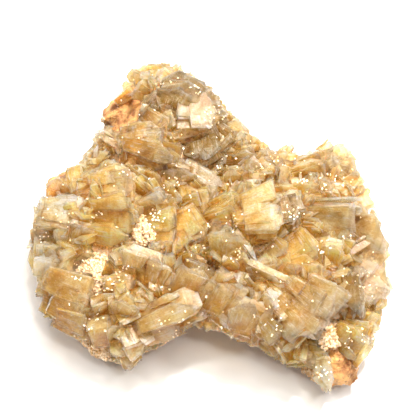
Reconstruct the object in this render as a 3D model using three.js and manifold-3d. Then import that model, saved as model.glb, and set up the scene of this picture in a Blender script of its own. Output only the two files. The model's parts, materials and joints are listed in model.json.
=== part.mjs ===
// A hand specimen of stilbite: honey-coloured blades grown together over a thin plate of host rock.
// Millimetres, +Z up. The origin is the middle of the flat spot on which the specimen rests.
import * as THREE from "three";
import { ConvexGeometry } from "three/addons/geometries/ConvexGeometry.js";
import { mergeVertices } from "three/addons/utils/BufferGeometryUtils.js";
import Module from "manifold-3d";

const wasm = await Module();
wasm.setup();

// Driving dimensions
const CRUST = 3; // thickness of the intergrown crystal crust over the rock
const SEAM = 0.4; // clearance between the rock and the crust that coats it
const ROCK_TOP = 17; // height of the rock's upper face away from its hills and hollows
const FOOT_SINK = 0.8; // how far the rock's underside would dip below the table before it is ground flat
const ROUGHNESS = 0.7; // broken-rock relief
const STANDING = 0.4; // share of a crystal's half depth by which its middle stands off the crust
const FILL_STANDING = 0.15; // the same for the smaller blades between
const PATCH_PROUD = 0.8; // how far bare rock stands above the crust around it
const SMALL_PATCH = 4.2; // below this radius a lump of bare rock is cut coarsely
const PATCH_DEPTH = 0.5; // half thickness of a lump of bare rock, as a share of its radius
const FLOOR_CLEARANCE = 0.3; // lowest crystal above the table
const SEED = 20452;
const WELD = 1e-3; // corners closer than this are one corner

// The specimen faces a viewer who looks down on it from the front.
const VIEW_TILT = THREE.MathUtils.degToRad(55); // the view's angle above the horizon
const VIEW_DISTANCE = 420;
const VIEW_TARGET = new THREE.Vector3(0, 8, 12);
const VIEW_RIGHT = new THREE.Vector3(1, 0, 0);
const VIEW_UP = new THREE.Vector3(0, Math.sin(VIEW_TILT), Math.cos(VIEW_TILT));
const TO_VIEWER = new THREE.Vector3(0, -Math.cos(VIEW_TILT), Math.sin(VIEW_TILT));

// The rock plate's rim from above, anticlockwise from the right-hand foot: [x, y, height above the table].
const RIM = [
  [34.5, -49.5, 3.5], [42, -43.5, 5], [47, -29, 8], [48.5, -9, 8], [47, 6, 9], [44, 17, 9], [41, 26, 9],
  [34, 28, 9], [26, 26, 9], [19, 27, 9], [12.5, 31, 10], [6.5, 39, 10], [1, 45, 10], [-5, 52, 10],
  [-9, 57, 11], [-17, 57, 11], [-24, 53, 10], [-31.5, 46, 9], [-33, 36, 9], [-36, 26, 9], [-46, 20, 9],
  [-49, 10, 8], [-49.5, -4, 7], [-47.5, -18, 6], [-45, -25, 6], [-39, -30, 6], [-32, -37, 5],
  [-25, -42, 4], [-19.5, -39, 7], [-9, -36, 10], [-3, -31.5, 11], [5, -33.5, 10], [14, -38, 8], [27, -44, 5],
];
// Hills and hollows of the rock's upper face.
const HILLS = [
  { name: "top lobe", at: [-11, 44], height: 8, spread: 13 },
  { name: "right lobe", at: [37, 12], height: 6, spread: 13 },
  { name: "left lobe", at: [-37, -2], height: 4, spread: 13 },
  { name: "middle ledge", at: [15, -3], height: 4, spread: 8 },
  { name: "valley", at: [3, 18], height: -4, spread: 8 },
  { name: "front right hollow", at: [42, -26], height: -4, spread: 6 },
  { name: "front left lobe", at: [-26, -27], height: 3, spread: 9 },
  { name: "front right lobe", at: [24, -28], height: 3, spread: 10 },
];
// Bare rock that shows between the crystals: its place in the view, right and up of the target.
const BARE_ROCK = [
  { name: "front right grains", at: [36, -39], radius: 4.3 },
  { name: "middle grains", at: [-18.5, -8], radius: 4.6 },
  { name: "left grains", at: [-30, -12], radius: 3.3 },
  { name: "lower left grains", at: [-33, -22], radius: 4 },
  { name: "middle pit", at: [-1, -6], radius: 2.6 },
  { name: "small pit", at: [1, -18], radius: 2.3 },
  { name: "valley grains", at: [-8, 16], radius: 2.3 },
  { name: "upper left grains", at: [-27, 13], radius: 2.5 },
  { name: "ledge grains", at: [16, -13], radius: 2.7 },
  { name: "front left grains", at: [-32, -41], radius: 4.4 },
  { name: "front foot grains", at: [30, -50], radius: 3 },
  { name: "top lobe rust", at: [-26.5, 29.5], radius: 6.3 },
  { name: "left rust", at: [-43.5, 6.5], radius: 5.2 },
  { name: "front right rust", at: [40, -47.5], radius: 6 },
  { name: "left cleft rust", at: [-45, -10.5], radius: 2.5 },
];

// The crystals that give the specimen its look. at: middle of the crystal in the view, right and up of the
// target. turn: which way its tip points in the view, anticlockwise from right. rise: how far the tip leans
// to the viewer. roll: turn of its broad face away from the viewer. size: length, width, thickness.
const CRYSTALS = [
  // top lobe
  { at: [-7, 39], turn: 118, rise: 35, roll: 15, size: [8.5, 6, 4.5] },
  { at: [-13, 38.5], turn: 75, rise: 40, roll: 25, size: [8, 7, 5] },
  { at: [-18, 38.5], turn: 95, rise: 35, roll: -20, size: [8.5, 7, 5] },
  { at: [-22.5, 36], turn: 125, rise: 25, roll: 20, size: [8, 5.5, 4] },
  { at: [-9, 32.5], turn: 60, rise: 35, roll: 10, size: [12.5, 11, 7] },
  { at: [-4, 27], turn: -80, rise: 25, roll: -10, size: [13, 9.5, 6] },
  { at: [-2, 34.5], turn: 130, rise: 15, roll: 30, size: [10, 7, 4] },
  { at: [1, 26.5], turn: -88, rise: 20, roll: 20, size: [11, 6, 5] },
  { at: [10.5, 22], turn: 58, rise: 18, roll: 5, size: [10.5, 8.5, 5] },
  { at: [16.5, 18.5], turn: -35, rise: 10, roll: 35, size: [10, 4.5, 4] },
  { at: [-19, 21.5], turn: 5, rise: 15, roll: -12, size: [13.5, 7, 6] },
  { at: [-15.5, 25], turn: -45, rise: 25, roll: 15, size: [9, 7.5, 4] },
  { at: [-17.5, 13.5], turn: -20, rise: 20, roll: 12, size: [15.5, 10, 5] },
  { at: [-31, 18], turn: 25, rise: 10, roll: 60, size: [12, 4, 2.5] },
  { at: [-35.5, 13.5], turn: 150, rise: 20, roll: 10, size: [9, 6.5, 5] },
  // valley and right shoulder
  { at: [-1, 16], turn: -80, rise: 45, roll: 10, size: [10, 8.5, 5] },
  { at: [9.5, 14], turn: 5, rise: 15, roll: 20, size: [11, 5.5, 4] },
  { at: [20, 14.5], turn: 35, rise: 8, roll: 50, size: [14, 5, 3.6] },
  { at: [24, 16.5], turn: 48, rise: 28, roll: -20, size: [9, 5.5, 5] },
  { at: [37, 14.5], turn: 20, rise: 12, roll: 8, size: [17, 10, 7.5] },
  { at: [38, 17.5], turn: -16, rise: 10, roll: 40, size: [11, 4.5, 3] },
  { at: [31, 14], turn: 28, rise: 16, roll: -12, size: [13, 8.5, 6] },
  { at: [29, 5.5], turn: 10, rise: 22, roll: 15, size: [10, 6, 5] },
  { at: [26, 10.5], turn: 16, rise: 10, roll: 30, size: [18, 5, 4] },
  { at: [43, 5.5], turn: 60, rise: 20, roll: 15, size: [10.5, 8, 5] },
  { at: [46, 5], turn: -62, rise: 15, roll: -25, size: [12, 7, 5] },
  { at: [36.5, 0], turn: -4, rise: 8, roll: 78, size: [15.5, 8, 2.2] },
  { at: [35, -4], turn: -6, rise: 12, roll: 10, size: [15, 7.5, 4.5] },
  { at: [23, -2], turn: -82, rise: 30, roll: 25, size: [8.5, 5.5, 4] },
  // middle
  { at: [16, -3], turn: 12, rise: 10, roll: -38, size: [14.5, 10.5, 8.5] },
  { at: [4.5, -2.5], turn: 16, rise: 22, roll: 22, size: [9.5, 8, 7] },
  { at: [6.5, -11.5], turn: 86, rise: 20, roll: -8, size: [12, 9, 5] },
  { at: [11.5, -12.5], turn: -58, rise: 15, roll: 70, size: [12, 5, 2] },
  { at: [-4, 7.5], turn: -35, rise: 18, roll: -12, size: [16.5, 8.5, 5] },
  { at: [-10.5, 9.5], turn: 60, rise: 28, roll: 12, size: [9.5, 6.5, 4.5] },
  { at: [-5.5, 4.5], turn: -25, rise: 10, roll: 62, size: [10, 4.5, 2.4] },
  { at: [-4.5, 1], turn: 10, rise: 22, roll: 5, size: [9.5, 6.5, 5] },
  { at: [9, 8], turn: 80, rise: 30, roll: 15, size: [9.5, 7, 4.5] },
  { at: [21, 4.5], turn: 5, rise: 18, roll: 18, size: [12.5, 5.5, 4.5] },
  // left
  { at: [-29.5, 5.5], turn: 5, rise: 15, roll: -15, size: [15.5, 8.5, 6.5] },
  { at: [-28, -1], turn: 0, rise: 20, roll: 8, size: [14.5, 7.5, 6] },
  { at: [-30, -8], turn: -10, rise: 18, roll: 20, size: [12, 6, 4.5] },
  { at: [-22, 7.5], turn: -42, rise: 10, roll: 58, size: [11, 5, 2.5] },
  { at: [-39, 7.5], turn: -80, rise: 25, roll: 10, size: [8.5, 6.5, 4] },
  { at: [-43.5, -3.5], turn: -5, rise: 12, roll: -25, size: [13.5, 8.5, 7.5] },
  { at: [-49, -2], turn: 112, rise: 15, roll: 15, size: [9.5, 6, 4.5] },
  { at: [-38.5, -8], turn: 70, rise: 25, roll: 12, size: [8, 6, 4] },
  { at: [-51, -14.5], turn: 100, rise: 5, roll: 35, size: [11, 5, 4] },
  { at: [-49, -9.5], turn: 80, rise: 20, roll: -20, size: [9.5, 6.5, 4] },
  { at: [-46.5, -16.5], turn: 70, rise: 28, roll: 15, size: [9, 8, 7] },
  { at: [-31, -18.5], turn: 60, rise: 30, roll: 10, size: [6.5, 5.5, 4.5] },
  // front left lobe
  { at: [-42.5, -27.5], turn: -24, rise: 10, roll: 8, size: [17, 12.5, 7] },
  { at: [-38, -22.5], turn: -45, rise: 8, roll: 62, size: [14.5, 5, 3] },
  { at: [-39, -34], turn: -20, rise: 15, roll: 20, size: [12.5, 7.5, 5] },
  { at: [-31, -35.5], turn: 88, rise: 40, roll: 10, size: [9, 8.5, 7.5] },
  { at: [-27.5, -43], turn: -70, rise: 25, roll: 15, size: [8, 6.5, 5] },
  { at: [-23, -45.5], turn: -84, rise: 10, roll: 12, size: [10, 5.5, 4.5] },
  { at: [-23, -38], turn: -60, rise: 15, roll: -20, size: [11.5, 6.5, 4.5] },
  { at: [-11.5, -30.5], turn: 23, rise: 8, roll: -25, size: [18.5, 7, 6.5] },
  { at: [-13, -37], turn: 20, rise: 8, roll: 25, size: [11, 5.5, 4.5] },
  { at: [-3.5, -23], turn: 60, rise: 25, roll: 10, size: [10.5, 9.5, 6] },
  { at: [2.5, -33], turn: -40, rise: 10, roll: 20, size: [9, 5.5, 4] },
  { at: [-19, -18.5], turn: 76, rise: 20, roll: -10, size: [12, 9, 6] },
  { at: [-12.5, -20], turn: 80, rise: 15, roll: 50, size: [12.5, 5, 3] },
  { at: [-4.5, -17], turn: 10, rise: 30, roll: 15, size: [8.5, 5.5, 4] },
  { at: [-7.5, -7], turn: -70, rise: 20, roll: 12, size: [12.5, 10, 5.5] },
  { at: [-13, -5], turn: 5, rise: 25, roll: -10, size: [9.5, 7.5, 5] },
  { at: [-15, 1], turn: 20, rise: 20, roll: 15, size: [9.5, 6, 5] },
  { at: [-10.5, 1.5], turn: -60, rise: 18, roll: 30, size: [9.5, 5.5, 4] },
  { at: [-31, -28.5], turn: 100, rise: 45, roll: 10, size: [6, 5.5, 5] },
  { at: [-24, -28.5], turn: 60, rise: 40, roll: 10, size: [7, 5.5, 5] },
  // right lobes
  { at: [28, -12.5], turn: -60, rise: 20, roll: 20, size: [9.5, 8.5, 6] },
  { at: [35, -13], turn: 80, rise: 22, roll: -12, size: [9.5, 8.5, 6.5] },
  { at: [28, -18], turn: 10, rise: 22, roll: 10, size: [11.5, 7.5, 5.5] },
  { at: [20.5, -15.5], turn: -50, rise: 20, roll: 15, size: [9.5, 7.5, 5] },
  { at: [46.5, -10], turn: -12, rise: 10, roll: 10, size: [14.5, 12.5, 7.5] },
  { at: [47.5, -22], turn: -35, rise: 12, roll: -12, size: [12, 10, 7] },
  { at: [42, -27], turn: -85, rise: 20, roll: 30, size: [12, 6.5, 4.5] },
  { at: [50, -30], turn: 0, rise: 10, roll: 15, size: [9.5, 6.5, 5] },
  { at: [48.5, -35.5], turn: 10, rise: 12, roll: -15, size: [8, 6.5, 5] },
  { at: [29, -29], turn: -40, rise: 18, roll: 8, size: [16, 13.5, 7] },
  { at: [18.5, -27.5], turn: 35, rise: 30, roll: -15, size: [8, 6, 4.5] },
  { at: [18.5, -20], turn: -26, rise: 10, roll: 62, size: [12.5, 5.5, 2.5] },
  { at: [12.5, -33], turn: 70, rise: 18, roll: 12, size: [11, 8.5, 5.5] },
  { at: [5.5, -27.5], turn: 60, rise: 15, roll: -12, size: [12, 8.5, 5.5] },
  { at: [18, -37.5], turn: -50, rise: 12, roll: 18, size: [13, 8.5, 5.5] },
  { at: [27.5, -44.5], turn: -15, rise: 15, roll: 12, size: [12, 7, 5] },
  { at: [34.5, -50], turn: -86, rise: 5, roll: 12, size: [11.5, 5.4, 4.5] },
  { at: [42, -38.5], turn: -30, rise: 20, roll: 20, size: [9.5, 7, 5] },
  { at: [45.5, -42], turn: 60, rise: 15, roll: -15, size: [9.5, 6.5, 5] },
  { at: [9, -18.5], turn: 20, rise: 25, roll: 20, size: [8.5, 6.5, 4] },
];

// Smaller blades that fill in between, around the sides and over the back.
const FILL_PITCH = 13; // spacing of the fill over the slopes that turn away from the viewer
const FILL_FACING = 0.55; // a slope that faces the viewer more than this carries the crystals above instead
const FILL_SIZE = { length: [8, 12], width: [5, 7.5], thick: [3, 4.5] };
const FILL_TILT = [15, 62]; // lean away from the surface's own direction, degrees
const SIDE_COUNT = 20; // blades around the rim
const SIDE_HEIGHT = [9, 14];

// A seeded generator, so that every build gives the same stone.
function makeRandom(seed) {
  let state = seed;
  return () => (state = (state * 16807) % 2147483647) / 2147483647;
}
const between = (random, [low, high]) => low + (high - low) * random();

function solidOf(geometry, matrix = new THREE.Matrix4()) {
  const bare = new THREE.BufferGeometry().setAttribute("position", geometry.getAttribute("position").clone());
  if (geometry.index) bare.setIndex(geometry.index);
  bare.applyMatrix4(matrix);
  const merged = mergeVertices(bare, WELD);
  return new wasm.Manifold(
    new wasm.Mesh({
      numProp: 3,
      vertProperties: merged.attributes.position.array,
      triVerts: new Uint32Array(merged.index.array),
    }),
  );
}

function geometryOf(solid) {
  const mesh = solid.getMesh();
  const geometry = new THREE.BufferGeometry();
  geometry.setAttribute("position", new THREE.BufferAttribute(mesh.vertProperties, 3));
  geometry.setIndex(new THREE.BufferAttribute(mesh.triVerts, 1));
  return geometry;
}

const joined = (solids) => solids.reduce((whole, piece) => whole.add(piece));

// A closed skin over the rim: a point above and a point below the middle, and rings that meet at the rim.
const SPOKES = 38;
const RINGS = 4;
const rimCurve = new THREE.CatmullRomCurve3(RIM.map((p) => new THREE.Vector3(...p)), true, "centripetal");

function skin(upper, lower, reach = 1) {
  const points = [];
  const index = [];
  for (const face of [upper, lower]) {
    points.push(face(0, 0, 0, rimCurve.getPoint(0).z));
    for (let ring = 1; ring < RINGS; ring++)
      for (let spoke = 0; spoke < SPOKES; spoke++) {
        const rim = rimCurve.getPoint(spoke / SPOKES);
        const share = (ring / RINGS) * reach;
        points.push(face(rim.x * share, rim.y * share, share, rim.z));
      }
  }
  const half = points.length / 2;
  for (let spoke = 0; spoke < SPOKES; spoke++) {
    const rim = rimCurve.getPoint(spoke / SPOKES);
    points.push(upper(rim.x * reach, rim.y * reach, reach, rim.z));
  }
  const at = (side, ring, spoke) => {
    const turn = spoke % SPOKES;
    if (ring === RINGS) return 2 * half + turn;
    return side * half + (ring === 0 ? 0 : 1 + (ring - 1) * SPOKES + turn);
  };
  for (const side of [0, 1])
    for (let ring = 0; ring < RINGS; ring++)
      for (let spoke = 0; spoke < SPOKES; spoke++) {
        const a = at(side, ring, spoke);
        const b = at(side, ring + 1, spoke);
        const c = at(side, ring + 1, spoke + 1);
        const d = at(side, ring, spoke + 1);
        const faces = ring === 0 ? [[a, b, c]] : [[a, b, c], [a, c, d]];
        for (const [i, j, k] of faces) index.push(...(side === 0 ? [i, j, k] : [i, k, j]));
      }
  const geometry = new THREE.BufferGeometry().setFromPoints(points);
  geometry.setIndex(index);
  return geometry;
}

function rockTop(x, y) {
  return HILLS.reduce((z, hill) => {
    const reach = (x - hill.at[0]) ** 2 + (y - hill.at[1]) ** 2;
    return z + hill.height * Math.exp(-reach / (2 * hill.spread ** 2));
  }, ROCK_TOP);
}

// The rock plate with its broken-stone relief.
function rockGeometry() {
  const random = makeRandom(SEED);
  const jag = () => (random() * 2 - 1) * ROUGHNESS;
  const upper = (x, y, share, rim) => {
    const dome = Math.sqrt(1 - Math.min(share, 1) ** 4);
    return new THREE.Vector3(x + jag(), y + jag(), rim + (rockTop(x, y) - rim) * dome + jag());
  };
  const lower = (x, y, share, rim) => {
    const dome = Math.sqrt(1 - Math.min(share, 1) ** 2);
    return new THREE.Vector3(x + jag(), y + jag(), rim - (rim + FOOT_SINK) * dome + jag() * 0.6);
  };
  return skin(upper, lower);
}

function grown(geometry, by) {
  const copy = geometry.clone();
  copy.computeVertexNormals();
  const position = copy.getAttribute("position");
  const normal = copy.getAttribute("normal");
  for (let i = 0; i < position.count; i++)
    position.setXYZ(
      i,
      position.getX(i) + normal.getX(i) * by,
      position.getY(i) + normal.getY(i) * by,
      position.getZ(i) + normal.getZ(i) * by,
    );
  return copy;
}

// Everything under the rim's level, where no crust grows.
function belowRim() {
  const upper = (x, y, share, rim) => new THREE.Vector3(x, y, rim * Math.min(share, 1) + 6 * (1 - Math.min(share, 1)));
  const lower = (x, y) => new THREE.Vector3(x, y, -20);
  return skin(upper, lower, 1.4);
}

const rockShape = rockGeometry();
const rockTarget = new THREE.Mesh(rockShape, new THREE.MeshBasicMaterial({ side: THREE.DoubleSide }));

// Where a ray meets the rock, and which way the rock faces there.
function hit(origin, direction) {
  const [first] = new THREE.Raycaster(origin, direction.clone().normalize()).intersectObject(rockTarget);
  return first && { point: first.point, normal: first.face.normal.clone() };
}

const eye = VIEW_TARGET.clone().addScaledVector(TO_VIEWER, VIEW_DISTANCE);

// The rock seen at a place in the view; beside the rock, its nearest edge on the way in, moved out again.
function seenAt([right, up]) {
  for (let inward = 0; inward < 1; inward += 0.02) {
    const aim = VIEW_RIGHT.clone().multiplyScalar(right).addScaledVector(VIEW_UP, up);
    const aside = aim.clone().multiplyScalar(inward);
    const spot = hit(eye, VIEW_TARGET.clone().add(aim).sub(aside).sub(eye));
    if (spot) return { point: spot.point.add(aside), normal: spot.normal };
  }
  throw new Error("the view misses the rock");
}

// A blade: a flat prism whose end narrows to a chisel edge. Its length runs along Y, its thickness along Z.
function bladeGeometry(length, width, thick) {
  const levels = [
    { y: -0.5, x: 0.44, z: 0.5 },
    { y: 0.24, x: 0.5, z: 0.44 },
  ];
  const corners = levels.flatMap(({ y, x, z }) =>
    [[-1, -1], [1, -1], [1, 1], [-1, 1]].map(
      ([side, face]) => new THREE.Vector3(side * x * width, y * length, face * z * thick),
    ),
  );
  const chisel = [-0.22, 0.16].map((x) => new THREE.Vector3(x * width, length / 2, 0));
  return new ConvexGeometry([...corners, ...chisel]);
}

// A crystal's frame: its length along the axis, its broad face turned from the side it is seen from.
function crystalFrame(axis, seenFrom, roll, middle) {
  const along = axis.clone().normalize();
  const across = along.clone().cross(seenFrom).normalize();
  const face = across.clone().cross(along).normalize();
  const turn = new THREE.Matrix4().makeRotationY(THREE.MathUtils.degToRad(roll));
  return new THREE.Matrix4().makeBasis(across, along, face).setPosition(middle).multiply(turn);
}

// Moves a crystal of that size off the rock, outward, until only its lower part is buried in the crust.
function planted({ point }, outward, standing, axis, seenFrom, roll, size) {
  const frame = crystalFrame(axis, seenFrom, roll, new THREE.Vector3());
  const [x, y, z] = [0, 1, 2].map((i) => new THREE.Vector3().setFromMatrixColumn(frame, i).dot(outward));
  const depth = (Math.abs(y) * size[0] + Math.abs(x) * size[1] + Math.abs(z) * size[2]) / 2;
  frame.setPosition(point.clone().addScaledVector(outward, CRUST + standing * depth));
  return frame;
}

function viewedCrystal({ at, turn, rise, roll, size }) {
  const [angle, lean] = [turn, rise].map(THREE.MathUtils.degToRad);
  const axis = new THREE.Vector3()
    .addScaledVector(VIEW_RIGHT, Math.cos(lean) * Math.cos(angle))
    .addScaledVector(VIEW_UP, Math.cos(lean) * Math.sin(angle))
    .addScaledVector(TO_VIEWER, Math.sin(lean));
  const frame = planted(seenAt(at), TO_VIEWER, STANDING, axis, TO_VIEWER, roll, size);
  return solidOf(bladeGeometry(...size), frame);
}

const bareRock = BARE_ROCK.map(({ at, radius }) => ({ radius, ...seenAt(at) }));

// A blade that leans at random from the way the rock faces there; none on bare rock.
function looseBlade(random, spot) {
  const swing = random() * Math.PI * 2;
  const lean = THREE.MathUtils.degToRad(between(random, FILL_TILT));
  const size = [
    between(random, FILL_SIZE.length),
    between(random, FILL_SIZE.width),
    between(random, FILL_SIZE.thick),
  ];
  const roll = random() * 180;
  if (!spot || bareRock.some(({ point, radius }) => point.distanceTo(spot.point) < radius + size[1] / 2)) return [];
  const aside = new THREE.Vector3(Math.cos(swing), Math.sin(swing), 0).cross(spot.normal).normalize();
  const axis = spot.normal.clone().multiplyScalar(Math.cos(lean)).addScaledVector(aside, Math.sin(lean));
  const frame = planted(spot, spot.normal, FILL_STANDING, axis, aside.clone().cross(spot.normal), roll, size);
  return [solidOf(bladeGeometry(...size), frame)];
}

function fill() {
  const random = makeRandom(SEED + 7);
  const blades = [];
  const down = new THREE.Vector3(0, 0, -1);
  for (let x = -52; x <= 52; x += FILL_PITCH)
    for (let y = -50; y <= 58; y += FILL_PITCH) {
      const from = new THREE.Vector3(x + (random() - 0.5) * FILL_PITCH, y + (random() - 0.5) * FILL_PITCH, 90);
      const spot = hit(from, down);
      blades.push(...looseBlade(random, spot?.normal.dot(TO_VIEWER) < FILL_FACING && spot));
    }
  for (let i = 0; i < SIDE_COUNT; i++) {
    const angle = ((i + random() * 0.6) / SIDE_COUNT) * Math.PI * 2;
    const inward = new THREE.Vector3(-Math.cos(angle), -Math.sin(angle), 0);
    const from = inward.clone().multiplyScalar(-120).setZ(between(random, SIDE_HEIGHT));
    blades.push(...looseBlade(random, hit(from, inward)));
  }
  return blades;
}

// Bare lumps of rock, roughened as broken stone is.
function lumps(extra) {
  const random = makeRandom(SEED + 3);
  const up = new THREE.Vector3(0, 0, 1);
  return bareRock.map(({ radius, point, normal }) => {
    const lump = mergeVertices(
      new THREE.BufferGeometry().setAttribute(
        "position",
        new THREE.IcosahedronGeometry(1, radius > SMALL_PATCH ? 1 : 0).getAttribute("position"),
      ),
      WELD,
    );
    const position = lump.getAttribute("position");
    for (let i = 0; i < position.count; i++) {
      const wide = radius * (1 + (random() - 0.5) * 0.3) + extra;
      const deep = radius * PATCH_DEPTH + extra;
      position.setXYZ(i, position.getX(i) * wide, position.getY(i) * wide, position.getZ(i) * deep);
    }
    const place = new THREE.Matrix4().makeRotationFromQuaternion(new THREE.Quaternion().setFromUnitVectors(up, normal));
    const rise = CRUST + PATCH_PROUD - radius * PATCH_DEPTH;
    return solidOf(lump, place.setPosition(point.clone().addScaledVector(normal, rise)));
  });
}

const slab = (top) => solidOf(new THREE.BoxGeometry(300, 300, 60), new THREE.Matrix4().setPosition(0, 0, top - 30));

// The main body of a solid, without crumbs, and with its close corners welded.
function mainBody(solid) {
  const body = solid.decompose().reduce((a, b) => (a.volume() > b.volume() ? a : b));
  const welded = solidOf(geometryOf(body));
  return welded.decompose().length > 1 ? mainBody(welded) : welded;
}

const rock = mainBody(joined([solidOf(rockShape), ...lumps(0)]).subtract(slab(0)));
const rockWithSeam = joined([solidOf(grown(rockShape, SEAM)), ...lumps(SEAM)]);
const crust = solidOf(grown(rockShape, CRUST)).subtract(solidOf(belowRim()));
const blades = [...CRYSTALS.map(viewedCrystal), ...fill()];
const crystals = mainBody(joined([crust, ...blades]).subtract(rockWithSeam).subtract(slab(FLOOR_CLEARANCE)));

const specimen = new THREE.Group();
specimen.name = "stilbite_specimen";

const matrixMaterial = new THREE.MeshStandardMaterial({ color: 0xd9b48c, roughness: 0.9, metalness: 0 });
const crystalMaterial = new THREE.MeshStandardMaterial({ color: 0xdcb068, roughness: 0.28, metalness: 0 });

for (const [name, solid, material] of [
  ["matrix", rock, matrixMaterial],
  ["crystals", crystals, crystalMaterial],
]) {
  const mesh = new THREE.Mesh(geometryOf(solid), material);
  mesh.name = name;
  specimen.add(mesh);
}

export default specimen;
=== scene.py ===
"""A hand specimen of stilbite: honey-coloured blades grown together over a plate of host rock."""

import json
import math
import random

import bmesh
import bpy
import numpy as np
from mathutils import Euler, Matrix, Vector, noise
from mathutils.bvhtree import BVHTree

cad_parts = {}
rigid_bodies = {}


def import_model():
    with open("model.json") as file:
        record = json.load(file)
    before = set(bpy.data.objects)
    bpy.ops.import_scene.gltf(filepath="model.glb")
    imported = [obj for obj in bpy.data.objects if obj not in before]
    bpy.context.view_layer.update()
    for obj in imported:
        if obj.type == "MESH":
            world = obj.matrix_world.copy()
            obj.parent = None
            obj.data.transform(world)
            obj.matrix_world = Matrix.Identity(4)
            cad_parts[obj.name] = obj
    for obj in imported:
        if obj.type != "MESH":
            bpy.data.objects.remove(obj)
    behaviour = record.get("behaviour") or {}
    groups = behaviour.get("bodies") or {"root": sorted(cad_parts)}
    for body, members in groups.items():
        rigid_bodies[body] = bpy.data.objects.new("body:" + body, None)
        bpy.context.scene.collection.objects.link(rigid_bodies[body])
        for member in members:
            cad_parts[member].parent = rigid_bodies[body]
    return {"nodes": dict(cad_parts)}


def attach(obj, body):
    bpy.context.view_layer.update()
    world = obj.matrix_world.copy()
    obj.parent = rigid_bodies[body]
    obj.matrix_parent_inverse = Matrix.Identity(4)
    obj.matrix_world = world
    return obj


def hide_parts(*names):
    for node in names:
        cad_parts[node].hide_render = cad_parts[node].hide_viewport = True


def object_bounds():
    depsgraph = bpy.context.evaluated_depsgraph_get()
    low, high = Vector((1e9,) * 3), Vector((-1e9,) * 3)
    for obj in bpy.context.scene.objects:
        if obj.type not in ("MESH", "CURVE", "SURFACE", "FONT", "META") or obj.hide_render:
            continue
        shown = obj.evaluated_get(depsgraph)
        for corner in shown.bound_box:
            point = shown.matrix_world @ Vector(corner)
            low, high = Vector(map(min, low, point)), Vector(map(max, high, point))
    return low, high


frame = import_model()
cad_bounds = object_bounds()
scene = bpy.context.scene
MM = 0.001

# The view, in mm: places in it are counted right and up of its target
VIEW_TILT = math.radians(55)
VIEW_DISTANCE = 420
VIEW_TARGET = Vector((0, 8, 12))
RIGHT = Vector((1, 0, 0))
UP = Vector((0, math.sin(VIEW_TILT), math.cos(VIEW_TILT)))
TO_VIEWER = Vector((0, -math.cos(VIEW_TILT), math.sin(VIEW_TILT)))
EYE = VIEW_TARGET + TO_VIEWER * VIEW_DISTANCE
FRAME_WIDTH = 124.8

# Tones of the stone
TONES = {
    "grey": (0.74, 0.60, 0.33),
    "beige": (0.82, 0.65, 0.32),
    "cream": (0.98, 0.835, 0.47),
    "white": (1.0, 0.98, 0.84),
    "honey": (1.0, 0.765, 0.31),
    "gold": (1.0, 0.765, 0.28),
    "amber": (0.80, 0.56, 0.19),
    "smoky": (0.43, 0.34, 0.18),
    "rust": (0.84, 0.52, 0.18),
    "peach": (1.0, 0.78, 0.42),
    "olive": (0.78, 0.60, 0.22),
}

# Tones of the rock, and the white of the painted glints
ROCK_TONES = {"crumb": (0.66, 0.46, 0.26), "rust": (0.60, 0.32, 0.11), "brown": (0.42, 0.25, 0.10)}
UNDERSIDE = (0.56, 0.36, 0.22)
COVERED = (0.90, 0.68, 0.36)  # rock that the crystals hide
GLINT_WHITE = (1, 0.98, 0.92)

# How the tones vary
TONE_SPREAD = 0.09  # how far a crystal's lightness strays from its tone's
WARM_SPREAD = 0.04  # the same, from blue to red
PLATE_SPREAD = 0.04  # how far a plate's lightness strays from its sheaf's
GRAIN_SPREAD = 0.2  # the same for the sugary grains
ZONE_BLEND = 0.6  # how far the tone zones run into each other

# Which tone the loose crystals take: its middle in the view and its reach.
TONE_ZONES = [
    ("cream", -8, 37, 9), ("gold", -13, 39, 5), ("peach", -25, 30, 6), ("smoky", -7, 28, 9),
    ("beige", 1, 27, 4), ("smoky", -1, 16, 6), ("beige", -19, 21, 8), ("amber", -18, 13, 8),
    ("honey", 7, 26, 6), ("beige", 12, 21, 7), ("cream", -33, 14, 6), ("rust", -45, 8, 4),
    ("honey", -28, 2, 10), ("gold", -22, 6, 7), ("white", -46, -4, 6), ("gold", -52, -15, 4),
    ("cream", -45, -16, 6), ("gold", -29, -19, 6), ("amber", -42, -28, 9), ("cream", -35, -22, 5),
    ("olive", -31, -36, 6), ("cream", -27, -42, 6), ("beige", -18, -20, 8), ("gold", -16, 1, 8),
    ("cream", -18, -8, 6), ("gold", -6, -7, 7), ("honey", -5, 1, 6), ("beige", -4, 8, 7),
    ("gold", 5, -2, 6), ("cream", 6, -11, 6), ("cream", 16, -3, 8), ("peach", 22, 15, 7),
    ("beige", 37, 16, 8), ("beige", 27, 9, 8), ("honey", 45, 6, 7), ("beige", 36, -3, 8),
    ("grey", 46, -10, 9), ("gold", 30, -13, 8), ("honey", 20, -17, 7), ("beige", 49, -22, 7),
    ("smoky", 42, -27, 5), ("grey", 29, -29, 9), ("beige", 16, -30, 9), ("peach", 2, -23, 6),
    ("honey", 3, -33, 6), ("beige", -11, -31, 8), ("cream", 37, -37, 6), ("gold", 48, -33, 6),
    ("rust", 41, -49, 6), ("cream", 33, -50, 5), ("gold", 27, -44, 6),
]

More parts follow.
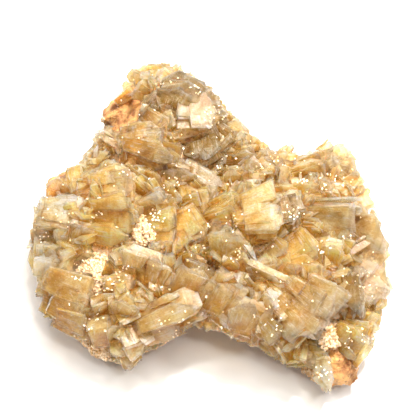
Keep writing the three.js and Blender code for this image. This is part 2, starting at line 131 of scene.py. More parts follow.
# The named crystals: middle in the view; turn, which way the tip points in the view, anticlockwise from
# right; rise, lean of the tip to the viewer; roll, turn of the broad face from the viewer; length, width
# and thickness in mm; tone.
CRYSTALS = [
    # top lobe
    ((-7, 39), 118, 35, 15, (8.5, 6, 4.5), "cream"),
    ((-13, 38.5), 75, 40, 25, (8, 7, 5), "gold"),
    ((-18, 38.5), 95, 35, -20, (8.5, 7, 5), "cream"),
    ((-22.5, 36), 125, 25, 20, (8, 5.5, 4), "cream"),
    ((-9, 32.5), 60, 35, 10, (12.5, 11, 7), "smoky"),
    ((-5, 27), -80, 25, -10, (12, 8.5, 6), "grey"),
    ((-24.5, 33.5), 35, 10, 20, (7, 3, 3), "rust"),
    ((-2, 34.5), 130, 15, 30, (10, 7, 4), "smoky"),
    ((1.5, 27), -88, 20, 60, (10, 4.5, 3.4), "beige"),
    ((10.5, 22), 58, 18, 5, (10.5, 8.5, 5), "beige"),
    ((16.5, 18.5), -35, 10, 35, (10, 4.5, 4), "gold"),
    ((-19, 21.5), 5, 15, -12, (13.5, 7, 6), "beige"),
    ((-15.5, 25), -45, 25, 15, (9, 7.5, 4), "grey"),
    ((-17.5, 13.5), -20, 20, 12, (15.5, 10, 5), "amber"),
    ((-31, 18), 25, 10, 60, (12, 4, 2.5), "cream"),
    ((-35.5, 13.5), 150, 20, 10, (9, 6.5, 5), "beige"),
    # valley and right shoulder
    ((-1, 16), -80, 45, 10, (10, 8.5, 5), "smoky"),
    ((9.5, 14), 5, 15, 20, (11, 5.5, 4), "grey"),
    ((20, 14.5), 35, 8, 50, (14, 5, 3.6), "white"),
    ((24, 16.5), 48, 28, -20, (9, 5.5, 5), "peach"),
    ((37, 14.5), 20, 12, 8, (17, 10, 7.5), "beige"),
    ((38, 17.5), -16, 10, 40, (11, 4.5, 3), "white"),
    ((31, 14), 28, 16, -12, (13, 8.5, 6), "beige"),
    ((29, 5.5), 10, 22, 15, (10, 6, 5), "honey"),
    ((26, 10.5), 16, 10, 30, (18, 5, 4), "beige"),
    ((43, 5.5), 60, 20, 15, (10.5, 8, 5), "peach"),
    ((46, 5), -62, 15, -25, (12, 7, 5), "beige"),
    ((36.5, 0), -4, 8, 78, (15.5, 8, 2.2), "white"),
    ((35, -4), -6, 12, 10, (15, 7.5, 4.5), "beige"),
    ((24.5, -2), -82, 35, 10, (9, 7, 7), "smoky"),
    # middle
    ((15.5, -3), 12, 10, -38, (13.5, 10.5, 8.5), "cream"),
    ((4.5, -2.5), 16, 22, 22, (9.5, 8, 7), "gold"),
    ((6.5, -11.5), 86, 20, -8, (12, 9, 5), "cream"),
    ((11.5, -12.5), -58, 15, 70, (12, 5, 2), "white"),
    ((-4, 7.5), -35, 18, -12, (16.5, 8.5, 5), "grey"),
    ((-10.5, 9.5), 60, 28, 12, (9.5, 6.5, 4.5), "beige"),
    ((-5.5, 4.5), -25, 10, 62, (10, 4.5, 2.4), "cream"),
    ((-4.5, 1), 10, 22, 5, (9.5, 6.5, 5), "gold"),
    ((9, 8), 80, 30, 15, (9.5, 7, 4.5), "peach"),
    ((21, 4.5), 5, 18, 18, (12.5, 5.5, 4.5), "beige"),
    # left
    ((-29.5, 5.5), 5, 15, -15, (15.5, 8.5, 6.5), "honey"),
    ((-28, -1), 0, 20, 8, (14.5, 7.5, 6), "honey"),
    ((-30, -8), -10, 18, 20, (12, 6, 4.5), "gold"),
    ((-22, 7.5), -42, 10, 58, (11, 5, 2.5), "beige"),
    ((-39, 7.5), -80, 25, 10, (8.5, 6.5, 4), "honey"),
    ((-43.5, -3.5), -5, 12, -25, (13.5, 8.5, 7.5), "white"),
    ((-45, 5), 70, 20, 15, (8, 6, 5), "rust"),
    ((-49, -2), 112, 15, 15, (9.5, 6, 4.5), "grey"),
    ((-38.5, -8), 70, 25, 12, (8, 6, 4), "beige"),
    ((-51, -14.5), 100, 5, 35, (11, 5, 4), "olive"),
    ((-49, -9.5), 80, 20, -20, (9.5, 6.5, 4), "beige"),
    ((-46.5, -16.5), 70, 28, 15, (9, 8, 7), "white"),
    ((-31, -18.5), 60, 30, 10, (6.5, 5.5, 4.5), "gold"),
    # front left lobe
    ((-42.5, -27.5), -24, 10, 8, (17, 12.5, 7), "beige"),
    ((-38, -22.5), -45, 8, 62, (14.5, 5, 3), "beige"),
    ((-39, -34), -20, 15, 20, (12.5, 7.5, 5), "amber"),
    ((-31, -35.5), 88, 40, 10, (9, 8.5, 7.5), "olive"),
    ((-27.5, -43), -70, 25, 15, (8, 6.5, 5), "cream"),
    ((-23, -43.3), -84, 10, 12, (8, 5, 4.2), "beige"),
    ((-23, -38), -60, 15, -20, (11.5, 6.5, 4.5), "peach"),
    ((-11.5, -30.5), 23, 8, -25, (18.5, 7, 6.5), "beige"),
    ((-13, -37), 20, 8, 25, (11, 5.5, 4.5), "peach"),
    ((-3.5, -23), 60, 25, 10, (10.5, 9.5, 6), "beige"),
    ((2.5, -33), -40, 10, 20, (9, 5.5, 4), "white"),
    ((-19, -18.5), 76, 20, -10, (12, 9, 6), "beige"),
    ((-12.5, -20), 80, 15, 50, (12.5, 5, 3), "cream"),
    ((-4.5, -17), 10, 30, 15, (8.5, 5.5, 4), "amber"),
    ((-7.5, -7), -70, 20, 12, (12.5, 10, 5.5), "gold"),
    ((-13, -5), 5, 25, -10, (9.5, 7.5, 5), "gold"),
    ((-15, 1), 20, 20, 15, (9.5, 6, 5), "white"),
    ((-10.5, 1.5), -60, 18, 30, (9.5, 5.5, 4), "cream"),
    ((-31, -28.5), 100, 45, 10, (6, 5.5, 5), "amber"),
    ((-24, -28.5), 60, 40, 10, (7, 5.5, 5), "olive"),
    # right lobes
    ((28, -12.5), -60, 20, 20, (9.5, 8.5, 6), "gold"),
    ((35, -13), 80, 22, -12, (9.5, 8.5, 6.5), "gold"),
    ((28, -18), 10, 22, 10, (11.5, 7.5, 5.5), "honey"),
    ((20.5, -15.5), -50, 20, 15, (9.5, 7.5, 5), "honey"),
    ((46.5, -10), -12, 10, 10, (14.5, 12.5, 7.5), "grey"),
    ((47.5, -22), -35, 12, -12, (12, 10, 7), "grey"),
    ((42, -27), -85, 20, 30, (12, 6.5, 4.5), "smoky"),
    ((50, -30), 0, 10, 15, (9.5, 6.5, 5), "gold"),
    ((48.5, -35.5), 10, 12, -15, (8, 6.5, 5), "cream"),
    ((29, -29), -40, 18, 8, (15, 12, 7), "grey"),
    ((18.5, -27.5), 35, 30, -15, (8, 6, 4.5), "white"),
    ((18.5, -20), -26, 10, 62, (12.5, 5.5, 2.5), "cream"),
    ((12.5, -33), 70, 18, 12, (11, 8.5, 5.5), "beige"),
    ((5.5, -27.5), 60, 15, -12, (12, 8.5, 5.5), "beige"),
    ((18, -37.5), -50, 12, 18, (13, 8.5, 5.5), "beige"),
    ((27.5, -44.5), -15, 15, 12, (12, 7, 5), "gold"),
    ((34.3, -49.3), -86, 5, 12, (9, 4.8, 4), "white"),
    ((42, -38.5), -30, 20, 20, (9.5, 7, 5), "honey"),
    ((45.5, -42), 60, 15, -15, (9.5, 6.5, 5), "cream"),
    ((9, -18.5), 20, 25, 20, (8.5, 6.5, 4), "honey"),
]

# Bare rock that shows between the crystals: its middle in the view, its radius and its tone.
BARE_ROCK = [
    dict(at=(35, -38), radius=5, tone="crumb"),  # front right grains
    dict(at=(-18.5, -8), radius=4.6, tone="crumb"),  # middle grains
    dict(at=(-15.5, -2), radius=2.8, tone="crumb"),  # bright grains
    dict(at=(-30, -12), radius=4, tone="crumb"),  # left grains
    dict(at=(-34, -21), radius=5, tone="crumb"),  # lower left grains
    dict(at=(-1, -6), radius=3.2, tone="crumb"),  # middle pit
    dict(at=(1, -18), radius=2.3, tone="brown"),  # small pit
    dict(at=(-8, 15.5), radius=2.8, tone="crumb"),  # valley grains
    dict(at=(-27, 13), radius=2.5, tone="crumb"),  # upper left grains
    dict(at=(16, -13), radius=2.7, tone="brown"),  # ledge grains
    dict(at=(-32, -41), radius=4.4, tone="crumb"),  # front left grains
    dict(at=(30, -50), radius=3, tone="brown"),  # front foot grains
    dict(at=(-26.5, 29.5), radius=6.3, tone="rust"),  # top lobe rust
    dict(at=(-43.5, 6.5), radius=5.2, tone="rust"),  # left rust
    dict(at=(40, -47.5), radius=6, tone="rust"),  # front right rust
    dict(at=(-32, 25), radius=2.2, tone="brown"),  # top lobe dark edge
    dict(at=(-23.7, 38.5), radius=1.6, tone="brown"),  # top lobe crack
    dict(at=(-45, -10.5), radius=2.5, tone="brown"),  # left cleft rust
]

# Bunches of tiny white grains on the crystals that are painted glints: middle in the view, radius, how
# many.
GLINTS = [
    (-50, -8, 2.5, 7), (-43, -3, 3, 7), (-33, -2, 2, 6), (-16, -3, 3, 24), (-11, 7, 2.5, 10),
    (3.3, 12.6, 0.8, 3), (8, -14, 2.5, 8), (15, 11, 2.5, 7), (20, 14.5, 2, 6), (25, -1, 2.5, 13),
    (32, 9, 5, 16), (35, -12, 2.5, 10), (41.5, -8.5, 1.5, 4), (1.5, 28, 3.5, 18), (-4.5, 34.5, 2.5, 7),
    (-25, -20, 3, 11), (-31, -23, 3, 14), (-39, -19, 3, 12), (-10, -36, 6, 18), (19, -32, 6, 14),
    (35, -49, 3, 11), (44, -39, 4, 13), (48, -21, 4, 11), (-26, 9, 4, 7), (-13, 39, 4, 8),
    (42, 8, 4, 10), (-35, -36, 5, 11), (5, -4, 4, 8), (-4, -14, 4, 10),
]
SCATTERED_GLINTS = 170  # such grains anywhere on the crystals

# The specimen's edge in the view, which no blade reaches past.
EDGE = [
    (-24, 41), (-17, 43.5), (-7.5, 44), (-3.5, 39.5), (2, 35.5), (4, 32), (9.5, 26.5), (15, 20.5),
    (20, 17.5), (24.5, 19.5), (27.5, 15.5), (35, 21), (44, 18.5), (44.5, 11.5), (48, 7), (51, -3),
    (55, -12.5), (53, -17.5), (55.5, -25), (52.2, -33), (50.5, -45), (46, -51), (41, -54.5),
    (35.5, -56.5), (27, -49.5), (14, -42.5), (5, -38), (-4, -36), (-8.5, -39), (-17.5, -42),
    (-21.5, -49), (-24, -49.2), (-34, -44), (-42, -37), (-50.5, -34), (-52.5, -27.5), (-51, -21.5),
    (-55.2, -15.5), (-55.2, -12), (-53, -1), (-49, 6), (-45.5, 11.5), (-40, 12.5), (-35.5, 17.5),
    (-33.3, 25), (-31.5, 31), (-26, 37),
]

# The host rock and the crust, in mm
ROCK_FACET = 0.8
ROCK_LUMPS = 0.8
ROCK_CUT = 0.25  # how far the rock is set back, over the foot
FOOT_HEIGHT = 0.4
CRUST_FACET = 0.9
CRUST_LUMPS = 0.55
CRUST = 3  # how far the crystals' crust reaches out of the rock
CRUST_SUNK = 1.2  # how far its skin lies inside the rock where nothing grows
CRUST_RISE = CRUST + 0.9
CRUST_RIM = 0.35  # share of the rise that is left at the specimen's edge
CRUST_TURN = (0.25, 0.3)  # how far underneath the crust starts, and over what turn it grows full
LUMPS = ((0.11, (0, 0, 0), 1.1), (0.42, (9, 4, 1), 0.8), (1.3, (2, 7, 5), 0.5))  # fineness, shift, height
UNDER_NORMAL = -0.2  # faces that look down more than this are underside
WELD = 1e-6  # corners nearer than this, in m, are one
TONED_REACH = 1.4  # how many radii a patch of bare rock gives its tone to
BARE_END = 1.35  # how many radii from its middle a patch of bare rock ends
BARE_FADE = 0.45  # over how many radii it fades

# The blades
JITTER = np.random.default_rng(88)
UNEVEN = (0.86, 1.14)  # how far a blade's corners stray, as shares of its size
SHOULDER_THICK = 0.9
ROOT_WIDTH = 0.9
CHISEL_THICK = 0.12
BLADE_BEVEL = 0.025
BEVEL_ANGLE = math.radians(25)
FLARE = 0.4  # how much wider a blade is at its tip than at its root
END_NORMAL = 0.9  # faces that look along the blade more than this are its end
TIP_FROM = 0.25  # the tip starts so far past the blade's middle
GRAIN_SHIFT = (31.7, 17.3)  # how far apart the grain of two blades may lie, in mm
BLADE_SHAPES = (  # name, width of the tip, how far it is off the middle, where the body ends
    ("blade chisel", 0.5, 0.0, 0.30),
    ("blade slanted", 0.35, 0.2, 0.18),
    ("blade blunt", 0.8, 0.0, 0.40),
    ("blade pointed", 0.12, -0.1, 0.12),
)
SMALL_SHAPES = (
    ("small chisel", 0.4, 0.0, 0.25),
    ("small slanted", 0.35, 0.18, 0.30),
    ("small blunt", 0.75, 0.0, 0.38),
)

# The sheaves
CORE = (0.94, 0.92, 0.82)  # the broad blade in the middle, as shares of length, width and thickness
PLATE_SECTION = 4.5  # a sheaf has one plate for so many square mm of its section
PLATE_SHARES = ((0.35, 0.95), (0.25, 0.75), (0.1, 0.3))  # a plate's size, as shares of the sheaf's
PLATE_ASIDE = 0.4
PLATE_LEVELS = (0.34, 0.46)
PLATE_OUT = (0.9, 0.95)  # share of the way to the sheaf's sides and faces
PLATE_START = (0.2, 1)
FAN = math.radians(9)  # how far a sheaf's outer plates part, through its thickness
SPLAY = math.radians(12)  # the same, across its width
FAN_STRAY = 0.04
SPLAY_STRAY = 0.05
SPIN_STRAY = 0.1

# How the crystals grow
STANDING = 0.4  # how far a named crystal stands out of the crust, as a share of its depth
BROADER = 1.12  # the dressed crystals reach over the gaps between them
BOX_SLACK = 0.6  # how far a blade may reach past the solids' box, in mm
EDGE_SLACK = 0.5  # how far past the specimen's edge, in mm
KEPT_BARE = 1.0  # no blade stands over the middle of a bare patch in the view, as a share of its radius
KEPT_CLEAR = 0.22  # no loose crystal grows this near the middle of a named one, as a share of its size
KEPT_FACES = 0.82  # share of the joined crystals' triangles that is kept; the rest lie flat in others
LOWEST_NORMAL = -0.15  # nothing loose grows where the rock looks down more than this
GROWN_FROM = 4  # nor lower above the table than this, in mm
CRYSTALS_TO = 0.2  # loose crystals grow where the rock is this bare at most
GRAINS_FROM = 0.3  # sugary grains where it is this bare at least
INWARD_STEP = 0.02  # steps of the search for the rock from beside it, as a share of the way in
LOOSE = dict(count=800, sizes=((5, 10), (3.5, 6.5), (2.2, 3.8)), cover=CRUST, standing=0.12, tilt=(35, 85))
SUGAR = dict(count=26000, sizes=((0.9, 1.9), (0.6, 1.2), (0.5, 1.0)), cover=0, standing=0.1, tilt=(0, 80))
GLINT_SIZES = ((0.4, 0.85), (0.25, 0.55), (0.25, 0.5))
GLINT_START = 30  # the scattered glints are looked for from so far above the rock, in mm
HOLLOW_REACH = 6  # neighbours within so many mm make a hollow
HOLLOW_START = 0.08
SKY = [
    Vector((math.cos(turn) * math.cos(rise), math.sin(turn) * math.cos(rise), math.sin(rise)))
    for turn, rise in ((0.3, 0.6), (1.5, 1.0), (2.9, 0.5), (4.2, 1.0), (5.2, 0.6))
]

# Marks on the crystals: noises, and the spans and tints they are seen by
CLOUDS = dict(scale=260, detail=6, roughness=0.62)
CLOUD_TINTS = ((0.36, (0.86, 0.77, 0.58)), (0.60, (1.08, 1.08, 1.08)))
VEINS = dict(scale=330, detail=6, roughness=0.66, distortion=1.1)
VEIN_TINTS = ((0.38, (0.86, 0.76, 0.56)), (0.62, (1.06, 1.08, 1.14)))
GRIT = dict(scale=1500, detail=3, roughness=0.6)
GRIT_TINTS = ((0.36, (0.90, 0.86, 0.78)), (0.64, (1.08, 1.08, 1.08)))
ROOT_TO_TIP = (-0.7, 0.9)
LENGTH_CLOUDS = 0.7  # how far the clouds shift the tints along a blade
LENGTH_TINTS = ((0.25, (0.90, 0.75, 0.40)), (1.0, (1.14, 1.17, 1.28)))
LINES = dict(scale=1, detail=3, roughness=0.6, distortion=0.5)
LINE_STRETCH = (2.0, 0.14, 1)  # fine lines along a blade: how many per mm across and along
LINE_SPAN = (0.52, 0.62)
LINE_CLOUD_SPAN = (0.44, 0.54)
LINE_WHITE = 0.6
# White flecks: partly pale marks in the crystal, partly painted sparkle
SPARKLE_FLECKS = dict(scale=800, detail=4, roughness=0.7, distortion=0.8)
SPARKLE_FLECK_SPAN = (0.60, 0.66)
SPARKLE_FLECK_WHITE = 0.40
# Painted glints: rare white dots in the crystals' colour
PAINTED_GLINT_DOTS = dict(scale=1300, detail=0)
PAINTED_GLINT_DOT_SPAN = (0.755, 0.775)
PAINTED_GLINT_DOT_VEIN_SPAN = (0.54, 0.60)
# White rims along the blades: partly chipped edges, partly painted highlight
CHIPS = dict(scale=900, detail=4, roughness=0.6)
CHIP_SPAN = (0.46, 0.60)
RIM_SPAN = (0.90, 0.98)  # from a blade's middle at 0 to its edge at 1
RIM_WHITE = 0.45
TIP_WHITE = 0.12
# The white of the pale marks, and of the painted highlights and glints
PALE_MARKS_AND_HIGHLIGHTS = (1.0, 0.94, 0.80, 1)
OUTLINE_SPANS = ((0.78, 0.86), (0.94, 0.88))
OUTLINE_VEIN_SPAN = (0.42, 0.52)
OUTLINE_DEPTH = 0.55
OUTLINE_HONEY = (0.42, 0.26, 0.09, 1)
# Painted shade: the crystals' colour darkened towards honey where the hollow share is high
PAINTED_SHADE_SPAN = (0.2, 0.9)
PAINTED_SHADE_HONEY = (0.74, 0.57, 0.28, 1)
# Dark brown specks, only where the hollow share is high
HOLLOW_SPECKS = dict(scale=1000, detail=3, roughness=0.6)
HOLLOW_SPECK_SPAN = (0.42, 0.36)
HOLLOW_SPECK_SHARE_SPAN = (0.45, 0.8)
HOLLOW_SPECK_DEPTH = 0.7
HOLLOW_SPECK_BROWN = (0.30, 0.13, 0.05, 1)
SPECKS = dict(scale=900, detail=4)
SPECK_TONES = ((0.40, (0.22, 0.10, 0.04)), (0.56, (0.88, 0.68, 0.42)))
SPECK_SHARE = 0.5
LINE_RELIEF = 0.12
VEIN_RELIEF = 0.12
GRIT_RELIEF = 0.16

# The crystals' material
RELIEF = 0.0010
RELIEF_STRENGTH = 0.8
POLISH = 0.12
STILBITE_IOR = 1.5
CLEAR = 0.72  # the share of the light that passes through a crystal
SCATTER = 0.005
SCATTER_RADIUS = (1.0, 0.91, 0.76)
# Painted shade: faces turned aside from the camera are darkened towards honey
EDGE_ON_SHADE_SPAN = (0.5, 0.95)  # how far a face is turned aside
EDGE_ON_SHADE_DEPTH = 0.55
EDGE_ON_SHADE_HONEY = (0.48, 0.35, 0.14, 1)

# The rock's material
ROCK_CLOUDS = dict(scale=240, detail=5, roughness=0.6)
ROCK_TINTS = ((0.36, (0.42, 0.28, 0.18)), (0.58, (1.1, 1.1, 1.1)))
PITS = dict(scale=1100, detail=3, roughness=0.6)
PIT_SPAN = (0.40, 0.34)
PIT_DEPTH = 0.75
PIT_BROWN = (0.20, 0.08, 0.03, 1)
ROCK_GRAIN = dict(scale=700, detail=5, roughness=0.7)
ROCK_RELIEF = 0.0007
ROCK_RELIEF_STRENGTH = 0.9
ROCK_ROUGHNESS = 0.6
ROCK_SOAK = 0.6  # share of the light that soaks into the rock
ROCK_SOAK_RADIUS = (1.0, 0.6, 0.3)
ROCK_SOAK_DEPTH = 0.0008

# Table, light and camera
TABLE_SIZE = 6
TABLE_WHITE = (0.93, 0.92, 0.90, 1)
TABLE_ROUGHNESS = 0.7
LAMP_AIM = Vector((0, 0, 0.01))
LAMP_WHITE = (1, 0.98, 0.96)
CEILING_SPOTS = (
    (0.02, 0.62, 0.85), (0.62, 0.05, 0.75), (0.1, 0.15, 1.1), (-0.3, 0.5, 0.9), (0.3, -0.35, 0.95),
)
LAMPS = (  # name, place, size, power, colour
    ("window", (0.24, 0.30, 0.85), 0.13, 18.5, (1, 0.98, 0.95)),
    ("ceiling", (0.05, -0.1, 1.0), 0.45, 2.5, LAMP_WHITE),
    *((f"ceiling spot {number}", spot, 0.13, 1.9, LAMP_WHITE) for number, spot in enumerate(CEILING_SPOTS)),
    ("side lamp", (-0.5, -0.1, 0.8), 0.08, 1.5, LAMP_WHITE),
)
ROOM_LIGHT = (1, 0.985, 0.96, 1)
ROOM_STRENGTH = 0.35
SENSOR_WIDTH = 36
NEAREST_SEEN = 0.01


# Tools of the bench
def deselect():
    if bpy.context.object and bpy.context.object.mode != "OBJECT":
        bpy.ops.object.mode_set(mode="OBJECT")
    bpy.ops.object.select_all(action="DESELECT")


def take(piece):
    deselect()
    piece.select_set(True)
    bpy.context.view_layer.objects.active = piece


def apply_modifier(piece, kind, **values):
    take(piece)
    modifier = piece.modifiers.new(kind.title(), kind)
    for key, value in values.items():
        setattr(modifier, key, value)
    bpy.ops.object.modifier_apply(modifier=modifier.name)


def cut_blade(name, tip_width, tip_off, body_end, bevel):
    """One blade, a unit long along Y, wide and thick: a cube whose far end narrows to a chisel edge."""
    deselect()
    bpy.ops.mesh.primitive_cube_add(size=1)
    blade = bpy.context.object
    blade.name = name
    bm = bmesh.new()
    bm.from_mesh(blade.data)
    for corner in bm.verts:
        if corner.co.y > 0:
            corner.co.y = body_end
            corner.co.z *= SHOULDER_THICK
        else:
            corner.co.x *= ROOT_WIDTH
    far = [face for face in bm.faces if face.normal.y > END_NORMAL]
    grown = bmesh.ops.extrude_discrete_faces(bm, faces=far)["faces"][0]
    for corner in grown.verts:
        corner.co.y = 0.5
        corner.co.x = corner.co.x * tip_width + tip_off
        corner.co.z *= CHISEL_THICK
    bm.to_mesh(blade.data)
    bm.free()
    if bevel:
        apply_modifier(
            blade, "BEVEL", width=bevel, segments=1, limit_method="ANGLE", angle_limit=BEVEL_ANGLE
        )
    return blade


def pattern_of(blade):
    """The blade's corners, faces and which faces are its tip, for copying."""
    mesh = blade.data
    corners = np.array([tuple(v.co) for v in mesh.vertices])
    faces = [tuple(p.vertices) for p in mesh.polygons]
    tip = [p.center.y > TIP_FROM for p in mesh.polygons]
    bpy.data.objects.remove(blade)
    return corners, faces, tip


BLADES = [pattern_of(cut_blade(*shape, BLADE_BEVEL)) for shape in BLADE_SHAPES]
SMALL_BLADES = [pattern_of(cut_blade(*shape, 0)) for shape in SMALL_SHAPES]
LOW = np.array(cad_bounds[0]) / MM - BOX_SLACK
HIGH = np.array(cad_bounds[1]) / MM + BOX_SLACK


def in_view(points):
    """Places in the view, right and up of the target, of points of the object."""
    q = np.asarray(points) - np.array(EYE)
    depth = -q @ np.array(TO_VIEWER)
    return np.stack([q @ np.array(RIGHT), q @ np.array(UP)], axis=-1) / depth[..., None] * VIEW_DISTANCE


def inside_edge(points, margin=EDGE_SLACK):
    """Which points the view shows within the specimen's edge, or as far outside it as the margin."""
    seen = in_view(points)
    reach = np.maximum(np.linalg.norm(seen, axis=-1, keepdims=True), 1)
    seen = seen * (1 - margin / reach)
    ends = np.array(EDGE)
    starts = np.roll(ends, 1, axis=0)
    right, up = seen[..., 0], seen[..., 1]
    crossings = np.zeros(seen.shape[:-1], int)
    for (x0, y0), (x1, y1) in zip(starts, ends):
        if y0 == y1:
            continue
        level = (up - y0) / (y1 - y0)
        beyond = x0 + level * (x1 - x0) > right
        crossings += (((up > y0) != (up > y1)) & beyond).astype(int)
    return crossings % 2 == 1


def give(mesh, name, values, domain="FACE"):
    """Stores a value or a colour for every face or corner of a mesh."""
    colour = np.ndim(values) == 2
    kept = mesh.attributes.new(name, "FLOAT_COLOR" if colour else "FLOAT", domain)
    kept.data.foreach_set("color" if colour else "value", np.ravel(values))


class Growth:
    """Gathers blades into one mesh, with the grain map and the tone of every face."""

    def __init__(self, keeps_rock_bare=False):
        self.keeps_rock_bare = keeps_rock_bare
        self.corners, self.faces, self.maps, self.places, self.tones, self.tips = [], [], [], [], [], []
        self.spans, self.starts = [], []
        self.count = 0

    def add(self, pattern, place, size, tone, seed):
        """Adds one blade, unless it would reach out of the box or the edge, or stand over bare rock."""
        corners, faces, tip = pattern
        length, width, thick = size
        sized = corners * (width, length, thick) * JITTER.uniform(*UNEVEN, corners.shape)
        sized[:, 0] *= 1 + FLARE * corners[:, 1]
        world = sized @ np.array(place.to_3x3()).T + np.array(place.translation)
        if (world.max(0) > HIGH).any() or (world.min(0) < LOW).any() or not inside_edge(world).all():
            return
        if self.keeps_rock_bare and over_crumbs(world.mean(0)):
            return
        shift = (seed * GRAIN_SHIFT[0], seed * GRAIN_SHIFT[1])
        self.corners.append(world)
        self.spans.append((len(self.faces), len(self.faces) + len(faces)))
        for face, is_tip in zip(faces, tip):
            self.starts.append(len(self.maps))
            self.faces.append([i + self.count for i in face])
            a, b, c = (sized[face[i]] for i in (0, 1, 2))
            normal = np.abs(np.cross(b - a, c - b))
            across = 2 if normal[0] > normal[2] else 0
            for i in face:
                self.maps.append((sized[i][across] + shift[0], sized[i][1] + shift[1]))
                self.places.append((2 * corners[i][across], 2 * corners[i][1]))
            self.tones.append((*tone, 1))
            self.tips.append(float(is_tip))
        self.count += len(world)

    def grown_together(self, piece):
        """Joins every blade with piece, and with each other, in one closed solid."""
        bunch = bpy.data.collections.new("loose blades")
        start = 0
        for corners, (first, last) in zip(self.corners, self.spans):
            mesh = bpy.data.meshes.new("loose blade")
            faces = [[i - start for i in face] for face in self.faces[first:last]]
            mesh.from_pydata(corners * MM, [], faces)
            start += len(corners)
            self.mark(mesh, first, last)
            bunch.objects.link(bpy.data.objects.new("loose blade", mesh))
        way = dict(operation="UNION", operand_type="COLLECTION", solver="MANIFOLD")
        apply_modifier(piece, "BOOLEAN", collection=bunch, **way)
        for blade in list(bunch.objects):
            bpy.data.meshes.remove(blade.data)
        bpy.data.collections.remove(bunch)

    def mark(self, mesh, first, last):
        """Gives a mesh of these faces their tones, tips and maps."""
        corners = slice(self.starts[first], self.starts[last - 1] + len(self.faces[last - 1]))
        give(mesh, "tone", self.tones[first:last])
        give(mesh, "tip", self.tips[first:last])
        mesh.uv_layers.new(name="grain").data.foreach_set("uv", np.ravel(self.maps[corners]))
        mesh.uv_layers.new(name="edge").data.foreach_set("uv", np.ravel(self.places[corners]))
        mesh.update()

    def mesh(self, name):
        mesh = bpy.data.meshes.new(name)
        mesh.from_pydata(np.concatenate(self.corners) * MM, [], self.faces)
        self.mark(mesh, 0, len(self.faces))
        return mesh


# The host rock
rock_mesh = frame["nodes"]["matrix"].data.copy()
bm = bmesh.new()
bm.from_mesh(rock_mesh)
bmesh.ops.remove_doubles(bm, verts=bm.verts, dist=WELD)
bmesh.ops.recalc_face_normals(bm, faces=bm.faces)
bm.to_mesh(rock_mesh)
rock_tree = BVHTree.FromPolygons(
    [v.co / MM for v in bm.verts], [[v.index for v in face.verts] for face in bm.faces]
)
bm.free()


def roughen(piece, step, amount, offset):
    """Breaks the surface up: even little facets, pushed out by offset and by three sizes of noise."""
    apply_modifier(piece, "REMESH", mode="VOXEL", voxel_size=step * MM, use_smooth_shade=False)
    mesh = piece.data
    points = np.array([v.co for v in mesh.vertices]) / MM
    normals = np.array([v.normal for v in mesh.vertices])
    lumps = [
        sum(noise.noise(point * fineness + Vector(shift)) * height for fineness, shift, height in LUMPS)
        for point in map(Vector, points)
    ]
    points += normals * (offset(points, normals) + amount * np.array(lumps))[:, None]
    points[:, 2] = np.maximum(points[:, 2], 0)
    mesh.vertices.foreach_set("co", np.ravel(points * MM))
    mesh.update()


rock = bpy.data.objects.new("host_rock", rock_mesh)
scene.collection.objects.link(rock)
take(rock)
crust = bpy.data.objects.new("crystal_crust", rock_mesh.copy())
scene.collection.objects.link(crust)


def nearest_bare(points):
    """For each point, the nearest patch of bare rock in the view and how many radii away its middle is."""
    seen = in_view(points)
    shares = [
        np.linalg.norm(seen - np.array(patch["at"]), axis=-1) / patch["radius"] for patch in BARE_ROCK
    ]
    return np.argmin(shares, axis=0), np.min(shares, axis=0)


def over_crumbs(middle):
    """Whether a blade with this middle would stand over a patch of crumbs in the view."""
    patch, distance = nearest_bare(middle)
    return distance < KEPT_BARE and BARE_ROCK[int(patch)]["tone"] != "rust"


def bareness(points):
    """1 in the middle of a patch of bare rock, 0 away from them all."""
    return np.clip((BARE_END - nearest_bare(points)[1]) / BARE_FADE, 0, 1)


def rock_offset(points, normals):
    """Back a little, except at the foot."""
    return np.where(points[:, 2] > FOOT_HEIGHT, -ROCK_CUT, 0)


def crust_offset(points, normals):
    """Out over the top and the sides, back into the rock underneath and where the rock is bare."""
    start, turn = CRUST_TURN
    share = np.clip((normals[:, 2] + start) / turn, 0, 1) * (1 - bareness(points))
    share *= np.where(inside_edge(points + normals * CRUST, 0), 1, CRUST_RIM)
    return -CRUST_SUNK + share * CRUST_RISE


roughen(rock, ROCK_FACET, ROCK_LUMPS, rock_offset)


def dress_rock(piece):
    """Each patch of bare rock has its colour; the rest is pinkish brown."""
    faces = piece.data.polygons
    near, share = nearest_bare(np.array([face.center for face in faces]) / MM)
    tones = []
    for face, patch, reach in zip(faces, near, share):
        if face.normal.z < UNDER_NORMAL:
            tone = UNDERSIDE
        else:
            tone = ROCK_TONES[BARE_ROCK[patch]["tone"]] if reach < TONED_REACH else COVERED
        tones.append((*tone, 1))
    give(piece.data, "tone", tones)


dress_rock(rock)
roughen(crust, CRUST_FACET, CRUST_LUMPS, crust_offset)


# Where crystals stand
def seen_at(at):
    """The rock seen at a place in the view; beside it, its nearest edge on the way in, moved out again."""
    aim = RIGHT * at[0] + UP * at[1]
    for step in range(round(1 / INWARD_STEP)):
        aside = aim * (step * INWARD_STEP)
        spot = rock_tree.ray_cast(EYE, (VIEW_TARGET + aim - aside - EYE).normalized())[0]
        if spot is not None:
            return spot + aside
    raise ValueError("the view misses the rock")


def crystal_frame(axis, seen_from, roll):
    """A frame with Y along the axis and Z to where it is seen from, rolled round the axis."""
    along = axis.normalized()
    across = along.cross(seen_from).normalized()
    face = across.cross(along).normalized()
    turn = Matrix((across, along, face)).transposed().to_4x4()
    return turn @ Matrix.Rotation(roll, 4, "Y")


def planted(spot, outward, cover, standing, axis, seen_from, roll, size):
    """A crystal's place: cover mm over the rock, and out of that by a share of its own depth."""
    place = crystal_frame(axis, seen_from, roll)
    x, y, z = (Vector(place.col[i][:3]).dot(outward) for i in range(3))
    depth = (abs(y) * size[0] + abs(x) * size[1] + abs(z) * size[2]) / 2
    place.translation = spot + outward * (cover + standing * depth)
    return place


